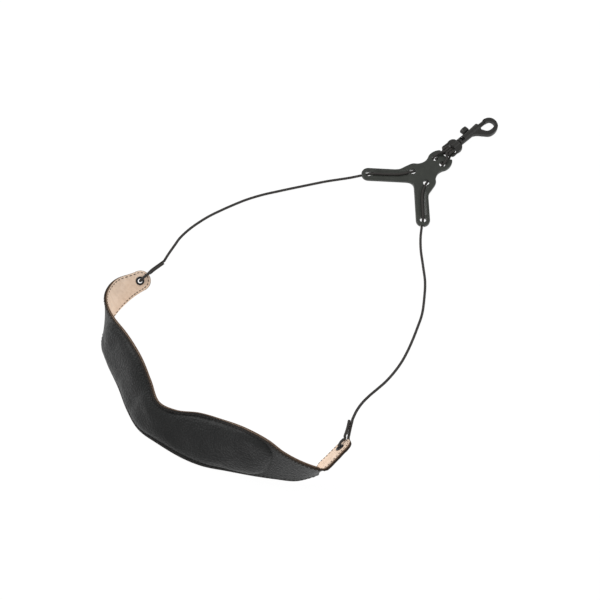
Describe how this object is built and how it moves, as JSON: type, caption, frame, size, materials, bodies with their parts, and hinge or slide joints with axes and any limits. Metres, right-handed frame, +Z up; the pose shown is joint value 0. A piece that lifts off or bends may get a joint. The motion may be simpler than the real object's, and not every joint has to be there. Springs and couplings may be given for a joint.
{
  "type": "saxophone neck strap",
  "caption": "Padded leather neck band with a thin cord through a Y-shaped friction yoke to a swivelling trigger snap hook, for carrying a saxophone.",
  "frame": {"origin": "middle of the strap's base as it lies, measured without the two free cords", "axes": "+Y from the nape towards the hook, along the strap; +Z up; +X to the right of the strap"},
  "size_m": [0.2824, 0.4894, 0.0541],
  "materials": {
    "outer_leather": "black pebbled leather",
    "lining_leather": "natural tan leather",
    "foam": "open-cell foam",
    "cord": "tightly braided round cord",
    "black_metal": "black painted eyelets",
    "hook_metal": "black coated die casting",
    "yoke_plastic": "glossy black moulding",
    "spring_steel": "bright spring wire"
  },
  "bodies": {
    "neck_pad": {"outer_leather": "outer_leather", "lining_leather": "lining_leather", "foam_core": "foam", "left_eyelet": "black_metal", "right_eyelet": "black_metal", "left_washer": "black_metal", "right_washer": "black_metal", "left_cord_end": "cord", "right_cord_end": "cord", "left_free_cord": "cord", "right_free_cord": "cord"},
    "yoke": {"yoke_plate": "yoke_plastic", "left_threaded_cord": "cord", "right_threaded_cord": "cord", "left_cord_tail": "cord", "right_cord_tail": "cord"},
    "cord_loops": {"left_cord_loop": "cord", "right_cord_loop": "cord"},
    "swivel_eye": {"swivel_eye": "hook_metal"},
    "hook": {"hook_body": "hook_metal", "swivel_rivet": "hook_metal", "return_spring": "spring_steel"},
    "trigger": {"plunger": "hook_metal", "thumb_knob": "hook_metal"}
  },
  "joints": [
    {"name": "yoke_slide", "type": "slide", "parent": "neck_pad", "child": "yoke", "axis": [0, -1, 0], "range_m": [0, 0.08], "deforming": ["left_free_cord", "right_free_cord"]},
    {"name": "loop_slide", "type": "slide", "parent": "yoke", "child": "cord_loops", "axis": [0, 1, 0], "range_m": [0, 0.04], "deforming": ["left_cord_loop", "right_cord_loop"]},
    {"name": "eye_swing", "type": "hinge", "parent": "cord_loops", "child": "swivel_eye", "pos_m": [-0.03766, 0.18128, 0.0045], "axis": [1, 0, 0], "range_deg": [-80, 80]},
    {"name": "hook_swivel", "type": "hinge", "parent": "swivel_eye", "child": "hook", "pos_m": [-0.03766, 0.19808, 0.0045], "axis": [0, 1, 0], "continuous": true},
    {"name": "trigger_slide", "type": "slide", "parent": "hook", "child": "trigger", "axis": [0, -1, 0], "range_m": [0, 0.0066], "stiffness_N_per_m": 350, "springref_m": -0.004, "deforming": ["return_spring"]}
  ],
  "couplings": [
    {"joint": "loop_slide", "follows": "yoke_slide", "ratio": 0.5}
  ]
}
